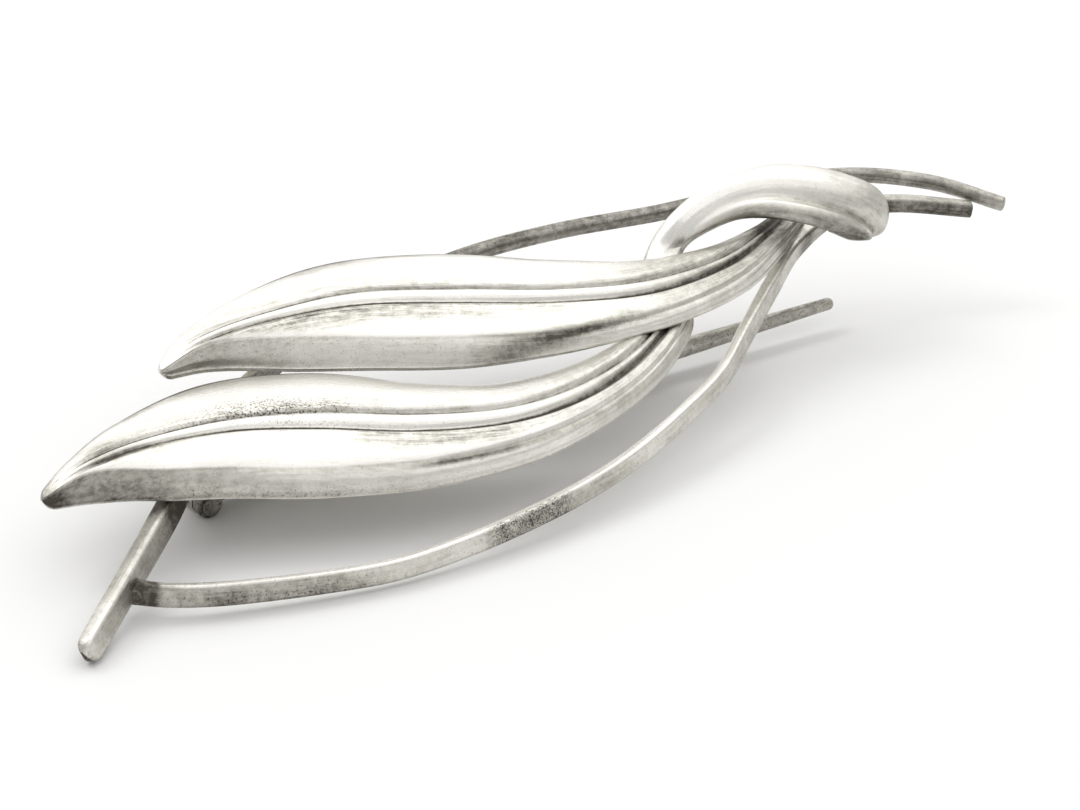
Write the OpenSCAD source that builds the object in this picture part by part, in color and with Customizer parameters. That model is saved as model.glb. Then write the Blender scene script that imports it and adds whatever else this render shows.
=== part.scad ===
// Leaf brooch of soldered silver: two grooved leaves on wire stems, bound by a
// wrap, with a hinged pin behind. Millimetres, +Z up, lying at rest.
// The spray is drawn flat in its own plane, X along its length and Z out of the
// face, and the module resting() then tips it onto the three points it lies on.

/* [Leaves] */
// Thickness of the silver sheet of both leaves
leaf_sheet = 1.0; // [0.7:0.1:1.3]
// Depth of the two grooves beside each midrib
groove_depth = 0.45; // [0.2:0.05:0.6]
// Thickness of the leaves at their edges
leaf_edge = 0.4; // [0.3:0.05:0.6]

/* [Wires] */
// Width of the flat wire across its top face
wire_width = 1.0; // [0.8:0.05:1.3]
// Height of the flat wire
wire_height = 1.7; // [1.4:0.05:1.9]
// Flat on each long edge of the wire
wire_chamfer = 0.16; // [0.1:0.02:0.24]
// Thickness of the band that wraps the stems
wrap_thickness = 1.2; // [0.9:0.05:1.4]

/* [Pin] */
// Diameter of the pin
pin_diameter = 1.5; // [1.2:0.05:1.6]
// Length of the pin from its pivot to its tip
pin_length = 52; // [50:0.5:55]
// Length of the tapered tip of the pin
pin_taper = 18.5; // [18.5:0.5:24]
// Diameter of the rivet in the hinge
rivet_diameter = 0.8; // [0.6:0.05:0.9]
// Play between the parts of the hinge
hinge_play = 0.1; // [0.06:0.01:0.15]

/* [Rest] */
// Slope of the spray along its length as it lies
rest_slope = 4.3; // [3:0.1:6]
// Tilt of the spray across its width as it lies
rest_tilt = 12; // [8:0.5:15]

/* [Hidden] */
$fn = 48;

// Height of the spray's plane over the table at its own zero point
rest_height = 0.81;
// Middle of the footprint, along and across
footprint_middle = [40.75, 7.33];
leaf_steps = 40;
wire_steps = 64;
wrap_steps = 44;

// Sections of a leaf along its midrib, each row being
// [x, y, near width, far width, midrib height, crest offset, crest height,
//  near edge height, far edge height, near groove offset, far groove offset]
front_leaf_rows = [
  [ 4.8, 11.4, 0.3, 0.3, 2.0, 0.2, 1.9, 1.1, 1.3, 0.08, 0.08],
  [ 8.0, 11.5, 1.9, 1.9, 2.9, 0.8, 2.8, 1.1, 1.4, 0.25, 0.20],
  [12.0, 11.0, 3.6, 4.2, 3.3, 2.6, 2.9, 1.1, 1.4, 0.50, 0.20],
  [17.3,  9.1, 4.9, 6.6, 3.4, 3.7, 2.8, 1.2, 1.3, 0.60, 0.60],
  [22.0,  6.1, 5.2, 7.4, 3.3, 3.9, 2.7, 1.2, 1.2, 0.48, 1.25],
  [27.0,  2.4, 4.3, 6.5, 3.1, 3.0, 2.6, 1.2, 1.2, 0.34, 1.45],
  [32.5, -0.3, 3.0, 5.4, 2.9, 1.9, 2.5, 1.2, 1.2, 0.20, 1.32],
  [38.0, -0.9, 2.2, 4.2, 2.7, 1.4, 2.3, 1.1, 1.2, 0.25, 1.00],
  [44.0,  0.2, 1.9, 2.8, 2.3, 1.2, 2.0, 0.8, 1.0, 0.20, 0.60],
  [50.0,  2.8, 1.6, 1.8, 1.7, 1.0, 1.5, 0.3, 0.5, 0.20, 0.35],
  [52.5,  5.0, 1.4, 1.4, 1.4, 0.9, 1.2, 0.1, 0.2, 0.15, 0.30]
];
back_leaf_rows = [
  [18.3, 17.7, 0.3, 0.3, 2.0, 0.2, 1.9, 1.2, 1.3, 0.08, 0.08],
  [22.0, 17.9, 1.9, 2.4, 3.0, 0.9, 2.8, 1.2, 1.4, 0.45, 0.10],
  [27.0, 16.9, 4.0, 4.9, 3.5, 2.6, 3.1, 1.2, 1.4, 0.73, 0.15],
  [32.5, 14.6, 5.2, 7.0, 3.6, 3.8, 3.1, 1.3, 1.4, 0.58, 0.90],
  [38.0, 10.8, 5.2, 7.6, 3.6, 3.8, 3.1, 1.4, 1.5, 0.36, 1.28],
  [43.5,  7.2, 4.2, 6.3, 3.4, 3.1, 2.9, 1.7, 1.8, 0.22, 1.30],
  [49.5,  4.4, 2.9, 4.8, 3.2, 2.0, 2.8, 1.9, 2.0, 0.08, 1.35],
  [56.0,  3.9, 2.2, 3.3, 2.9, 1.4, 2.6, 1.6, 1.8, 0.00, 0.85],
  [62.0,  5.3, 1.5, 1.8, 2.4, 1.0, 2.2, 1.0, 1.2, 0.10, 0.40],
  [67.0,  7.1, 1.1, 1.1, 1.8, 0.8, 1.7, 0.5, 0.6, 0.10, 0.25]
];

// Sections of a wire, each row being
// [x, y, z, roll, width as a share of the wire's, height as a share]
long_wire_rows = [
  [-0.2, -0.1, 0.1,  26, 0.8, 0.7],
  [ 0.6,  0.5, 0.0,  26, 1.05, 0.95],
  [ 5.3,  3.6, 0.0,  24, 1.15, 1.0],
  [11.6,  7.8, 0.0,  22, 1.2, 1.05],
  [18.0, 12.4, 0.0,  12, 1.1, 1.0],
  [26.0, 15.8, 0.0,   0, 1.0, 1.0],
  [35.0, 17.6, 0.2, -10, 1.0, 0.85],
  [44.0, 17.7, 0.4, -16, 1.0, 0.7],
  [52.0, 16.1, 0.5, -16, 1.0, 0.65],
  [60.0, 13.5, 0.5, -12, 1.0, 0.65],
  [68.0, 11.5, 0.6,  -4, 1.0, 0.65],
  [74.5,  9.0, 0.7,   0, 1.0, 0.6],
  [79.3,  4.7, 0.6,   0, 1.0, 0.6],
  [81.9, -0.5, 0.4,   0, 0.9, 0.6]
];
front_wire_rows = [
  [ 5.2,  3.4, -0.15, 14, 0.8, 0.85],
  [ 7.0,  1.6, -0.2, 16, 0.8, 0.85],
  [ 9.8, -0.3, -0.2, 16, 0.8, 0.85],
  [14.5, -2.7, -0.2, 16, 0.8, 0.83],
  [19.3, -4.6, -0.25, 16, 0.8, 0.83],
  [24.2, -5.5, -0.25, 16, 0.8, 0.83],
  [29.1, -5.9, -0.25, 16, 0.8, 0.83],
  [34.1, -5.9, -0.25, 16, 0.8, 0.83],
  [39.0, -5.4, -0.2, 16, 0.8, 0.83],
  [44.4, -4.2, -0.2, 16, 0.8, 0.83],
  [49.8, -2.6, -0.2, 18, 0.8, 0.83],
  [54.9,  0.0, -0.15, 18, 0.85, 0.85],
  [60.0,  2.6, 0.0, 12, 0.95, 0.9],
  [65.0,  4.9, 0.3,  4, 1.0, 0.9],
  [70.5,  5.9, 0.5,  0, 1.0, 0.75],
  [75.2,  4.6, 0.3,  0, 1.0, 0.7],
  [80.2,  1.1, -0.2,  0, 0.9, 0.7]
];

// Rails of the wrap, each row being the outer edge and then the inner edge,
// [x, y, z, x, y, z]
wrap_rows = [
  [50.4,  5.4,  0.7, 52.8, 4.0,  0.6],
  [52.4,  8.2,  0.8, 55.2, 6.6,  0.7],
  [54.5,  9.6,  1.3, 57.0, 8.4,  1.1],
  [57.0, 10.2,  3.1, 58.2, 7.9,  2.3],
  [60.6, 10.0,  4.6, 60.5, 6.9,  3.3],
  [64.6,  8.8,  5.3, 62.1, 5.4,  3.7],
  [67.3,  7.0,  5.3, 63.8, 3.8,  3.5],
  [69.5,  5.2,  4.8, 65.4, 2.7,  2.9],
  [71.2,  3.4,  3.9, 67.0, 2.2,  2.2],
  [71.6,  2.3,  2.7, 68.5, 2.2,  1.4],
  [71.3,  2.4,  1.5, 69.5, 2.7,  0.7],
  [70.7,  3.5,  0.6, 69.2, 3.9,  0.3],
  [70.2,  5.0,  0.4, 68.9, 5.4,  0.3]
];

// Solder between the long wire and the leaves, each row being [x, y, radius]
solder_rows = [[12.6, 8.7, 0.9], [27.2, 15.9, 0.8], [38.6, 17.5, 0.8]];
solder_top = 1.9;
// Solder in the corner where the front wire meets the long wire
joint_lump = [5.1, 3.0, -0.2];
joint_lump_radius = 0.7;

pivot = [16.7, 11.4, -3.6];
catch_at = [50.5, 5.94, -4.38];
pin_run = catch_at - pivot;
pin_heading = atan2(pin_run.y, pin_run.x);
pin_pitch = -atan2(pin_run.z, norm([pin_run.x, pin_run.y]));
catch_distance = norm(pin_run);
pin_radius = pin_diameter / 2;
pin_tip_radius = pin_radius * 0.6;
rivet_radius = rivet_diameter / 2;
rivet_clearance = 0.05;
eye_radius = 0.9;
eye_width = 1.7;
// The pin's thicker neck next to its eye
neck_radius = (pin_radius + eye_radius) / 2;
neck_length = 1.5;
ear_thickness = 0.7;
// From the pivot up to the plate that carries the ears, and that plate's length
// and thickness
ear_height = 2.0;
hinge_base = [3.4, 1.4];
ear_offset = eye_width / 2 + hinge_play;
hinge_span = eye_width + 2 * (hinge_play + ear_thickness);
rivet_head_radius = 0.6;
rivet_head_height = 0.25;
catch_wire_radius = 0.42;
catch_inner_radius = pin_radius + 0.15;
catch_arm = 1.5;
catch_post_radius = 0.6;
catch_post_top = 2.4;

silver = "#c9c7bf";
worn_silver = "#b9b6ad";
dark_silver = "#8f8c84";

// A row of a table, with one more row carried past each end
function row_at(rows, i) =
  i < 0 ? 2 * rows[0] - rows[1]
  : i >= len(rows) ? 2 * rows[len(rows) - 1] - rows[len(rows) - 2]
  : rows[i];

// Smooth values between the rows of a table, u counting rows
function between_rows(rows, u) =
  let (
    i = max(0, min(floor(u), len(rows) - 2)),
    t = u - i,
    a = row_at(rows, i - 1),
    b = row_at(rows, i),
    c = row_at(rows, i + 1),
    d = row_at(rows, i + 2)
  )
  0.5 * (2 * b + (c - a) * t + (2 * a - 5 * b + 4 * c - d) * t * t
    + (3 * b - a - 3 * c + d) * t * t * t);

function unit(v) = v / norm(v);
function mix(a, b, t) = a + (b - a) * t;
function clamp(v, low, high) = max(low, min(high, v));

// Which way a table's path runs at u, seen from above
function heading(rows, u) =
  let (
    step = 0.01,
    run = between_rows(rows, u + step) - between_rows(rows, u - step)
  )
  unit([run.x, run.y]);

// Section of a leaf, from its near edge over the top to its far edge and back
function leaf_profile(row) =
  let (
    near = row[2],
    far = row[3],
    rib = row[4],
    crest = row[5],
    crest_top = row[6],
    near_foot = row[7],
    far_foot = row[8],
    near_top = near_foot + leaf_edge,
    far_top = far_foot + leaf_edge,
    near_groove = row[9],
    far_groove = row[10],
    rib_at = (far_groove - near_groove) / 2,
    depth = groove_depth * clamp((near + far - 2) / 3, 0, 1),
    near_lip = min(0.45, 0.35 * crest),
    far_lip = min(0.45, 0.25 * far),
    hollow = clamp((near + far - 5.5) / 3, 0, 1)
  )
  [
    [-near, near_foot],
    [-near, near_top],
    [-mix(near, crest, 0.5), mix(near_top, crest_top, 0.62)],
    [-crest, crest_top],
    [-mix(crest, near_groove + near_lip, 0.5), mix(crest_top, rib, 0.5) + 0.05],
    [-near_groove - near_lip, rib - 0.2 * depth],
    [-near_groove, rib - depth],
    [mix(rib_at, -near_groove, 0.5), rib - 0.15 * depth],
    [rib_at, rib],
    [mix(rib_at, far_groove, 0.5), rib - 0.15 * depth],
    [far_groove, rib - depth],
    [far_groove + far_lip, rib - 0.2 * depth],
    [mix(far_groove + far_lip, far, 0.4), mix(rib, far_top, 0.22)],
    [mix(far_groove + far_lip, far, 0.75), mix(rib, far_top, 0.58)],
    [far, far_top],
    [far, far_foot],
    [0.86 * far, far_foot],
    [0.5 * far, mix(far_foot, mix(rib, far_top, 0.3) - leaf_sheet, hollow)],
    [0, mix(mix(near_foot, far_foot, 0.5), rib - leaf_sheet - 0.1, hollow)],
    [-0.9 * crest, mix(near_foot, crest_top - leaf_sheet, hollow)],
    [-0.86 * near, near_foot]
  ];

// Section of a wire of the given size, rolled about its own run
function wire_profile(width, height, roll) =
  let (x = width / 2, z = height / 2, c = wire_chamfer * min(1, width / wire_width))
  [
    for (p = [
      [-x, c - z], [-x, z - c], [c - x, z], [x - c, z],
      [x, z - c], [x, c - z], [x - c, -z], [c - x, -z]
    ])
      [p.x * cos(roll) + p.y * sin(roll), p.y * cos(roll) - p.x * sin(roll)]
  ];

// Section of the wrap across its width: outer slope, crest, groove, inner ridge
function wrap_profile(width) =
  let (t = wrap_thickness / 2)
  [
    [-0.44 * width, -t],
    [-0.5 * width, -0.2 * t],
    [-0.44 * width, 0.7 * t],
    [-0.32 * width, t],
    [-0.2 * width, 0.3 * t],
    [-0.06 * width, 0.9 * t],
    [0.06 * width, 1.2 * t],
    [0.26 * width, 0.9 * t],
    [0.44 * width, 0.3 * t],
    [0.5 * width, -0.4 * t],
    [0.4 * width, -t]
  ];

// Ring of points that stands across a table's path at u
function ring_across(rows, u, profile, z) =
  let (
    row = between_rows(rows, u),
    along = heading(rows, u)
  )
  [for (p = profile) [row.x - along.y * p.x, row.y + along.x * p.x, z + p.y]];

function leaf_rings(rows) =
  [
    for (k = [0:leaf_steps])
      let (u = k * (len(rows) - 1) / leaf_steps)
        ring_across(rows, u, leaf_profile(between_rows(rows, u)), 0)
  ];

function wire_rings(rows) =
  [
    for (k = [0:wire_steps])
      let (
        u = k * (len(rows) - 1) / wire_steps,
        row = between_rows(rows, u)
      )
        ring_across(
          rows, u,
          wire_profile(wire_width * row[4], wire_height * row[5], row[3]),
          row.z
        )
  ];

function rail_middle(row) =
  [row[0] + row[3], row[1] + row[4], row[2] + row[5]] / 2;

function wrap_rings(rows) =
  [
    for (k = [0:wrap_steps])
      let (
        u = k * (len(rows) - 1) / wrap_steps,
        step = 0.01,
        row = between_rows(rows, u),
        middle = rail_middle(row),
        across = [row[0] - row[3], row[1] - row[4], row[2] - row[5]],
        run = rail_middle(between_rows(rows, u + step))
          - rail_middle(between_rows(rows, u - step)),
        out = unit(cross(run, across)),
        side = unit(across)
      )
        [for (p = wrap_profile(norm(across))) middle + side * p.x + out * p.y]
  ];

function sum(points, i = 0) =
  i == len(points) - 1 ? points[i] : points[i] + sum(points, i + 1);

// Closed skin over a list of rings, with a middle point at each end
module skin(rings) {
  count = len(rings[0]);
  last = len(rings) - 1;
  start_middle = len(rings) * count;
  end_middle = start_middle + 1;
  points = concat(
    [for (ring = rings) each ring],
    [sum(rings[0]) / count, sum(rings[last]) / count]
  );
  faces = concat(
    [
      for (i = [0:last - 1], k = [0:count - 1], half = [0, 1])
        let (
          next = (k + 1) % count,
          a = i * count + k,
          b = i * count + next,
          c = (i + 1) * count + next,
          d = (i + 1) * count + k
        )
          half == 0 ? [a, b, c] : [a, c, d]
    ],
    [for (k = [0:count - 1]) [start_middle, (k + 1) % count, k]],
    [
      for (k = [0:count - 1])
        [end_middle, last * count + k, last * count + (k + 1) % count]
    ]
  );
  polyhedron(points = points, faces = faces, convexity = 8);
}

// Tips the spray's plane onto the table
module resting() {
  translate([-footprint_middle.x, -footprint_middle.y, rest_height])
    rotate([0, -rest_slope, 0])
      rotate([rest_tilt, 0, 0])
        children();
}

// Frame of the hinge: X along the pin, Y along the rivet, Z away from the
// opening side, upright over the table
module at_pivot() {
  translate(pivot)
    rotate([0, pin_pitch, pin_heading])
      rotate([-rest_tilt, 0, 0])
        children();
}

module front_leaf() {
  color(silver) skin(leaf_rings(front_leaf_rows));
}

module back_leaf() {
  color(silver) skin(leaf_rings(back_leaf_rows));
}

module long_wire() {
  color(worn_silver) skin(wire_rings(long_wire_rows));
}

module front_wire() {
  color(worn_silver) skin(wire_rings(front_wire_rows));
}

module stem_wrap() {
  color(silver) skin(wrap_rings(wrap_rows));
}

module solder() {
  color(dark_silver) {
    for (row = solder_rows)
      translate([row[0], row[1], 0])
        cylinder(r = row[2], h = solder_top);
    translate(joint_lump)
      sphere(r = joint_lump_radius);
  }
}

module hinge_ears() {
  color(dark_silver)
    at_pivot()
      difference() {
        union() {
          for (side = [-1, 1])
            translate([0, side * (ear_offset + ear_thickness / 2), 0])
              rotate([90, 0, 0]) {
                cylinder(r = eye_radius, h = ear_thickness, center = true);
                translate([-eye_radius, 0, -ear_thickness / 2])
                  cube([2 * eye_radius, ear_height, ear_thickness]);
              }
          translate([eye_radius - hinge_base.x, -hinge_span / 2, ear_height])
            cube([hinge_base.x, hinge_span, hinge_base.y]);
        }
        rotate([90, 0, 0])
          cylinder(
            r = rivet_radius + rivet_clearance, h = 2 * hinge_span, center = true
          );
      }
}

module catch() {
  ring_radius = catch_inner_radius + catch_wire_radius;
  post_foot = catch_at.z + ring_radius * cos(rest_tilt);
  color(dark_silver)
    at_pivot()
      translate([catch_distance, 0, 0]) {
        rotate([90, 0, 90])
          rotate_extrude(angle = 180)
            translate([ring_radius, 0])
              circle(r = catch_wire_radius);
        for (side = [-1, 1])
          translate([0, side * ring_radius, -catch_arm])
            cylinder(r = catch_wire_radius, h = catch_arm);
      }
  color(dark_silver)
    translate([catch_at.x, catch_at.y + ring_radius * sin(rest_tilt), post_foot])
      cylinder(r = catch_post_radius, h = catch_post_top - post_foot);
}

module leaf_spray() {
  resting() {
    front_leaf();
    back_leaf();
    long_wire();
    front_wire();
    stem_wrap();
    solder();
    hinge_ears();
    catch();
  }
}

module pin_stem() {
  color(silver)
    resting()
      at_pivot() {
        difference() {
          union() {
            rotate([90, 0, 0])
              cylinder(r = eye_radius, h = eye_width, center = true);
            rotate([0, 90, 0]) {
              cylinder(r1 = neck_radius, r2 = pin_radius, h = neck_length);
              cylinder(r = pin_radius, h = pin_length - pin_taper);
            }
          }
          rotate([90, 0, 0])
            cylinder(
              r = rivet_radius + rivet_clearance, h = 2 * eye_width, center = true
            );
        }
        translate([pin_length - pin_taper, 0, 0])
          rotate([0, 90, 0])
            cylinder(r1 = pin_radius, r2 = pin_tip_radius, h = pin_taper - pin_tip_radius);
        translate([pin_length - pin_tip_radius, 0, 0])
          sphere(r = pin_tip_radius);
      }
}

module hinge_rivet() {
  color(worn_silver)
    resting()
      at_pivot()
        rotate([90, 0, 0]) {
          cylinder(r = rivet_radius, h = hinge_span + 0.2, center = true);
          for (side = [-1, 1])
            translate([0, 0, side * (hinge_span / 2 + 0.05 + rivet_head_height / 2)])
              cylinder(r = rivet_head_radius, h = rivet_head_height, center = true);
        }
}

leaf_spray();
pin_stem();
hinge_rivet();
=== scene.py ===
import math
import bpy
import numpy as np
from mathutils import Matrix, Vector


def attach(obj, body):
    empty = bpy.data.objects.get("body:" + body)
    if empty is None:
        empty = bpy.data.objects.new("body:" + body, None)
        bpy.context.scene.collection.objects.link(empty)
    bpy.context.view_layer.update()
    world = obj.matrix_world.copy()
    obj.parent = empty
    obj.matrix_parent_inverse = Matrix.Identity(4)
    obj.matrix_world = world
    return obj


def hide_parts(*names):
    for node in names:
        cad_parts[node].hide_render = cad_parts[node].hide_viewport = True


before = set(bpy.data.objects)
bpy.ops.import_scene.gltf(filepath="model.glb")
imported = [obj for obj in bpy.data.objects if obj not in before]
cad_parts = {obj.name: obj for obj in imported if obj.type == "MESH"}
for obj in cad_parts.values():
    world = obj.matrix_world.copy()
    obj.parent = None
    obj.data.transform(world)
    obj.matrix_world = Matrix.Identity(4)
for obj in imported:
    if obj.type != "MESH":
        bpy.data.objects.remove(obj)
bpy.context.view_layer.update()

MM = 0.001

# Sizes of the brooch, in millimetres, as in its solids
LEAF_SHEET = 1.0
LEAF_EDGE = 0.4
GROOVE_DEPTH = 0.45
GROOVE_LIP = 0.45
WIRE_WIDTH = 1.0
WIRE_HEIGHT = 1.7
WRAP_THICKNESS = 1.2
PIN_RADIUS = 0.75
PIVOT = np.array([16.7, 11.4, -3.6])
EYE_RADIUS = 0.9
EYE_WIDTH = 1.7
HINGE_PLAY = 0.1
EAR_THICKNESS = 0.7
EAR_HEIGHT = 2.0
HINGE_BASE_LENGTH = 3.4
HINGE_BASE_HEIGHT = 1.4
CATCH_AT = np.array([50.5, 5.94, -4.38])
CATCH_PLAY = 0.15
CATCH_WIRE_RADIUS = 0.42
CATCH_RING_RADIUS = PIN_RADIUS + CATCH_PLAY + CATCH_WIRE_RADIUS
CATCH_ARM = 1.5
CATCH_POST_RADIUS = 0.6
CATCH_POST_TOP = 2.4

# How the brooch lies: two angles in degrees, then a shift in millimetres
REST_SLOPE = 4.3
REST_TILT = 12.0
REST_HEIGHT = 0.81
FOOTPRINT_MIDDLE = (40.75, 7.33)

# Softening that the solids don't have, in millimetres
NEAR_EDGE_ROUND = 0.16
FAR_EDGE_ROUND_AT_TIP = 0.4
FAR_EDGE_ROUND = 0.18
LEAF_TIP_HALF_WIDTH = 0.42
LEAF_TIP_ROUND = 0.6
LEAF_STEM_ROUND = 0.8
WIRE_END_ROUND = 0.2
HINGE_BEVEL = 0.12

# How far the ears reach into the hinge's plate, out of sight, in millimetres
EAR_SINK = 0.2

# How finely the meshes are divided. END_REACH counts rows of a table.
LEAF_RINGS = 260
LEAF_TOP_POINTS = 120
LEAF_UNDER_POINTS = 25
WIRE_RINGS = 420
WIRE_CORNER_POINTS = 12
WRAP_RINGS = 260
WRAP_POINTS = 72
ROD_POINTS = 28
END_RINGS = 25
END_REACH = 0.35

# Least size of a section at a rounded end, so that no end shrinks to nothing
LEAST_SECTION = 0.06

# Leaf rows: x, y, near width, far width, midrib height, crest offset, crest
# height, near edge height, far edge height, near groove and far groove offsets
FRONT_LEAF = np.array([
    [4.8, 11.4, 0.3, 0.3, 2.0, 0.2, 1.9, 1.1, 1.3, 0.08, 0.08],
    [8.0, 11.5, 1.9, 1.9, 2.9, 0.8, 2.8, 1.1, 1.4, 0.25, 0.20],
    [12.0, 11.0, 3.6, 4.2, 3.3, 2.6, 2.9, 1.1, 1.4, 0.50, 0.20],
    [17.3, 9.1, 4.9, 6.6, 3.4, 3.7, 2.8, 1.2, 1.3, 0.60, 0.60],
    [22.0, 6.1, 5.2, 7.4, 3.3, 3.9, 2.7, 1.2, 1.2, 0.48, 1.25],
    [27.0, 2.4, 4.3, 6.5, 3.1, 3.0, 2.6, 1.2, 1.2, 0.34, 1.45],
    [32.5, -0.3, 3.0, 5.4, 2.9, 1.9, 2.5, 1.2, 1.2, 0.20, 1.32],
    [38.0, -0.9, 2.2, 4.2, 2.7, 1.4, 2.3, 1.1, 1.2, 0.25, 1.00],
    [44.0, 0.2, 1.9, 2.8, 2.3, 1.2, 2.0, 0.8, 1.0, 0.20, 0.60],
    [50.0, 2.8, 1.6, 1.8, 1.7, 1.0, 1.5, 0.3, 0.5, 0.20, 0.35],
    [52.5, 5.0, 1.4, 1.4, 1.4, 0.9, 1.2, 0.1, 0.2, 0.15, 0.30],
])
BACK_LEAF = np.array([
    [18.3, 17.7, 0.3, 0.3, 2.0, 0.2, 1.9, 1.2, 1.3, 0.08, 0.08],
    [22.0, 17.9, 1.9, 2.4, 3.0, 0.9, 2.8, 1.2, 1.4, 0.45, 0.10],
    [27.0, 16.9, 4.0, 4.9, 3.5, 2.6, 3.1, 1.2, 1.4, 0.73, 0.15],
    [32.5, 14.6, 5.2, 7.0, 3.6, 3.8, 3.1, 1.3, 1.4, 0.58, 0.90],
    [38.0, 10.8, 5.2, 7.6, 3.6, 3.8, 3.1, 1.4, 1.5, 0.36, 1.28],
    [43.5, 7.2, 4.2, 6.3, 3.4, 3.1, 2.9, 1.7, 1.8, 0.22, 1.30],
    [49.5, 4.4, 2.9, 4.8, 3.2, 2.0, 2.8, 1.9, 2.0, 0.08, 1.35],
    [56.0, 3.9, 2.2, 3.3, 2.9, 1.4, 2.6, 1.6, 1.8, 0.00, 0.85],
    [62.0, 5.3, 1.5, 1.8, 2.4, 1.0, 2.2, 1.0, 1.2, 0.10, 0.40],
    [67.0, 7.1, 1.1, 1.1, 1.8, 0.8, 1.7, 0.5, 0.6, 0.10, 0.25],
])

# Wire rows: x, y, z, roll, share of the width, share of the height
LONG_WIRE = np.array([
    [-0.2, -0.1, 0.1, 26, 0.8, 0.7],
    [0.6, 0.5, 0.0, 26, 1.05, 0.95],
    [5.3, 3.6, 0.0, 24, 1.15, 1.0],
    [11.6, 7.8, 0.0, 22, 1.2, 1.05],
    [18.0, 12.4, 0.0, 12, 1.1, 1.0],
    [26.0, 15.8, 0.0, 0, 1.0, 1.0],
    [35.0, 17.6, 0.2, -10, 1.0, 0.85],
    [44.0, 17.7, 0.4, -16, 1.0, 0.7],
    [52.0, 16.1, 0.5, -16, 1.0, 0.65],
    [60.0, 13.5, 0.5, -12, 1.0, 0.65],
    [68.0, 11.5, 0.6, -4, 1.0, 0.65],
    [74.5, 9.0, 0.7, 0, 1.0, 0.6],
    [79.3, 4.7, 0.6, 0, 1.0, 0.6],
    [81.9, -0.5, 0.4, 0, 0.9, 0.6],
])
FRONT_WIRE = np.array([
    [5.2, 3.4, -0.15, 14, 0.8, 0.85],
    [7.0, 1.6, -0.2, 16, 0.8, 0.85],
    [9.8, -0.3, -0.2, 16, 0.8, 0.85],
    [14.5, -2.7, -0.2, 16, 0.8, 0.83],
    [19.3, -4.6, -0.25, 16, 0.8, 0.83],
    [24.2, -5.5, -0.25, 16, 0.8, 0.83],
    [29.1, -5.9, -0.25, 16, 0.8, 0.83],
    [34.1, -5.9, -0.25, 16, 0.8, 0.83],
    [39.0, -5.4, -0.2, 16, 0.8, 0.83],
    [44.4, -4.2, -0.2, 16, 0.8, 0.83],
    [49.8, -2.6, -0.2, 18, 0.8, 0.83],
    [54.9, 0.0, -0.15, 18, 0.85, 0.85],
    [60.0, 2.6, 0.0, 12, 0.95, 0.9],
    [65.0, 4.9, 0.3, 4, 1.0, 0.9],
    [70.5, 5.9, 0.5, 0, 1.0, 0.75],
    [75.2, 4.6, 0.3, 0, 1.0, 0.7],
    [80.2, 1.1, -0.2, 0, 0.9, 0.7],
])

# Wrap rows: outer edge x, y, z, inner edge x, y, z
WRAP = np.array([
    [50.4, 5.4, 0.7, 52.8, 4.0, 0.6],
    [52.4, 8.2, 0.8, 55.2, 6.6, 0.7],
    [54.5, 9.6, 1.3, 57.0, 8.4, 1.1],
    [57.0, 10.2, 3.1, 58.2, 7.9, 2.3],
    [60.6, 10.0, 4.6, 60.5, 6.9, 3.3],
    [64.6, 8.8, 5.3, 62.1, 5.4, 3.7],
    [67.3, 7.0, 5.3, 63.8, 3.8, 3.5],
    [69.5, 5.2, 4.8, 65.4, 2.7, 2.9],
    [71.2, 3.4, 3.9, 67.0, 2.2, 2.2],
    [71.6, 2.3, 2.7, 68.5, 2.2, 1.4],
    [71.3, 2.4, 1.5, 69.5, 2.7, 0.7],
    [70.7, 3.5, 0.6, 69.2, 3.9, 0.3],
    [70.2, 5.0, 0.4, 68.9, 5.4, 0.3],
])

# Solder: name, middle, radii, seed of its bumps, how rough it is
SOLDER = (
    ("solder_a", (13.1, 8.5, 1.05), (1.6, 1.0, 0.75), 1, 0.16),
    ("solder_b", (27.2, 15.9, 1.1), (1.0, 0.8, 0.7), 2, 0.16),
    ("solder_c", (38.6, 17.5, 1.2), (1.0, 0.75, 0.7), 3, 0.16),
    ("solder_d", (5.8, 2.85, -0.2), (0.5, 0.48, 0.62), 4, 0.08),
    ("solder_e", (15.4, 10.9, -0.95), (1.4, 0.9, 0.5), 5, 0.16),
    ("solder_f", (17.6, 11.6, -1.0), (1.1, 1.0, 0.5), 6, 0.16),
)

# Colour of the silver at shares of full tarnish. The same colours paint the shade, shadows, dark
# reflections and highlights laid into the silver.
TARNISH_AND_PAINTED_LIGHT_STEPS = (
    (0.0, (0.90, 0.885, 0.85)),
    (0.25, (0.74, 0.724, 0.672)),
    (0.5, (0.50, 0.483, 0.435)),
    (0.75, (0.27, 0.257, 0.23)),
    (1.0, (0.09, 0.08, 0.068)),
)

# Noise in the silver, in cells for each metre. Streaks and bands run along a
# piece, so theirs are along it, across it and through it.
STREAK_SCALE = (300, 6500, 6500)
BAND_SCALE = (80, 1400, 1400)
MOTTLE_SCALE = 1900
CLOUD_SCALE = 420
PIT_SCALE = 7500
CURL_SCALE = 2200

# Half widths of the dark lines in millimetres: near groove, far groove, crease
LINE_WIDTHS = (0.19, 0.12, 0.3)

# How far below its crest a leaf's crease lies, in millimetres
CREASE_OFFSET = 0.32

# Depth of the fine relief and of the line in a groove, in metres
FINE_RELIEF = 0.00005
LINE_RELIEF = 0.00009

# Tarnish and specks of the undersides, and specks of the plainer pieces
UNDERSIDE = 0.2
PLAIN_SPECKS = 0.3

# Camera at the photograph's place: lens and sensor in millimetres
CAMERA_AT = (-0.12029, -0.13117, 0.08421)
CAMERA_LOOKS = (0.6166, 0.6642, -0.4226)
CAMERA_LENS = 96.67
CAMERA_SENSOR = 36
CAMERA_CLIP = (0.005, 20)

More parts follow.
